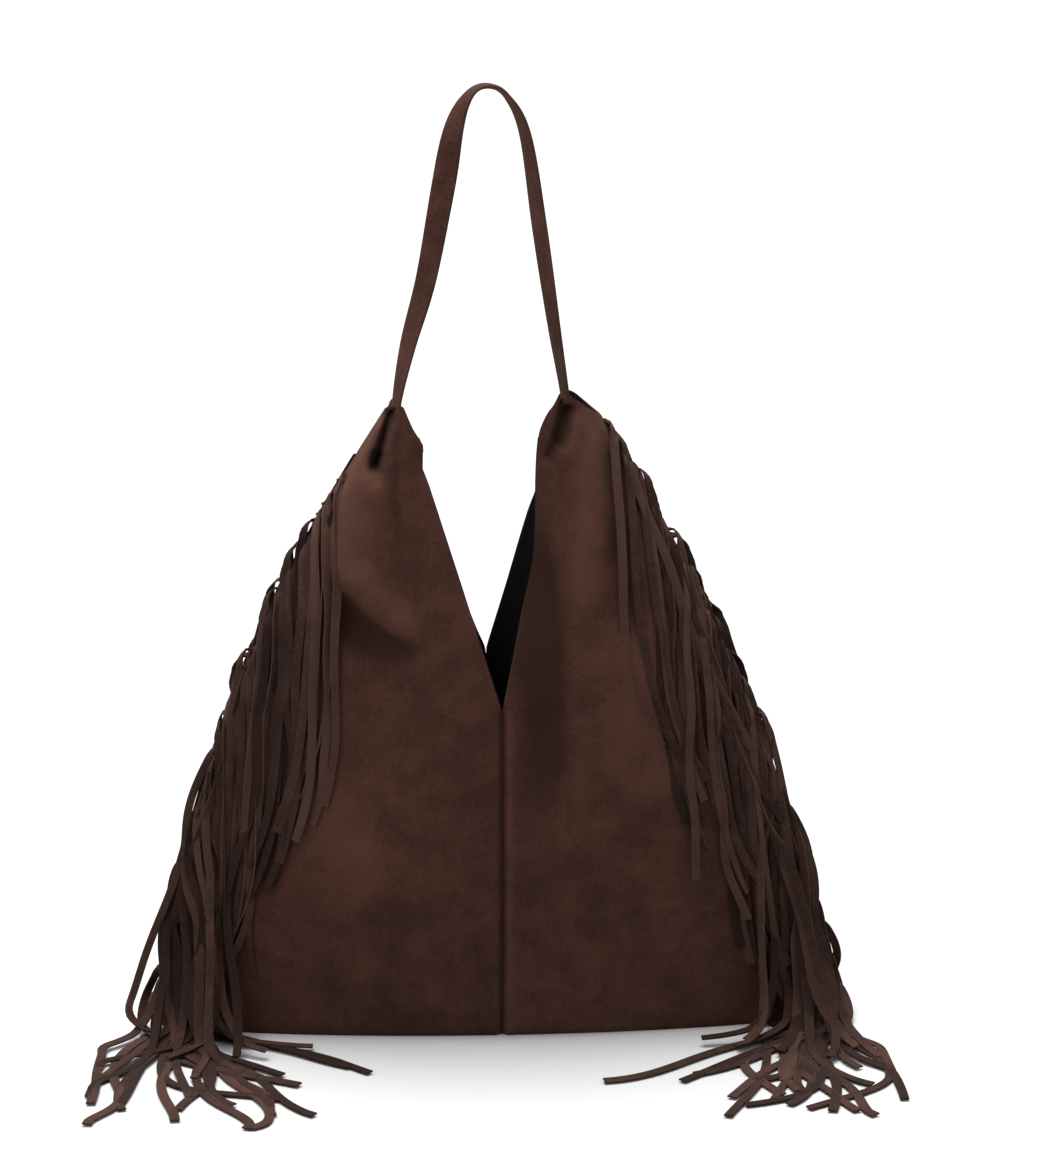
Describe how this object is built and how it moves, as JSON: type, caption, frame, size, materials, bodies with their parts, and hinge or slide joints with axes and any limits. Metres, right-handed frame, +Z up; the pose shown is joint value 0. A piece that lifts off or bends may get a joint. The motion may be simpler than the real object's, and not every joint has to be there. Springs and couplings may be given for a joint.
{
  "type": "fringed suede shoulder bag",
  "caption": "Soft V-topped suede shoulder bag standing on its narrow base, with a long cut fringe down each side seam and a folded strap joining the two peaks.",
  "frame": {"origin": "on the floor under the middle of the bag", "axes": "+Z up, -Y out of the front face, +X towards the right-hand side seam seen from the front"},
  "size_m": [0.5904, 0.4428, 0.713],
  "materials": {
    "suede": "matt brushed nap",
    "fringe_suede": "matt brushed nap, cut edges",
    "strap_suede": "matt brushed nap, worn a little smooth",
    "lining_cloth": "plain dark cloth"
  },
  "bodies": {
    "root": {"front_left_panel": "suede", "front_right_panel": "suede", "back_left_panel": "suede", "back_right_panel": "suede", "lining": "lining_cloth", "left_fringe": "fringe_suede", "right_fringe": "fringe_suede", "shoulder_strap": "strap_suede"}
  },
  "joints": []
}
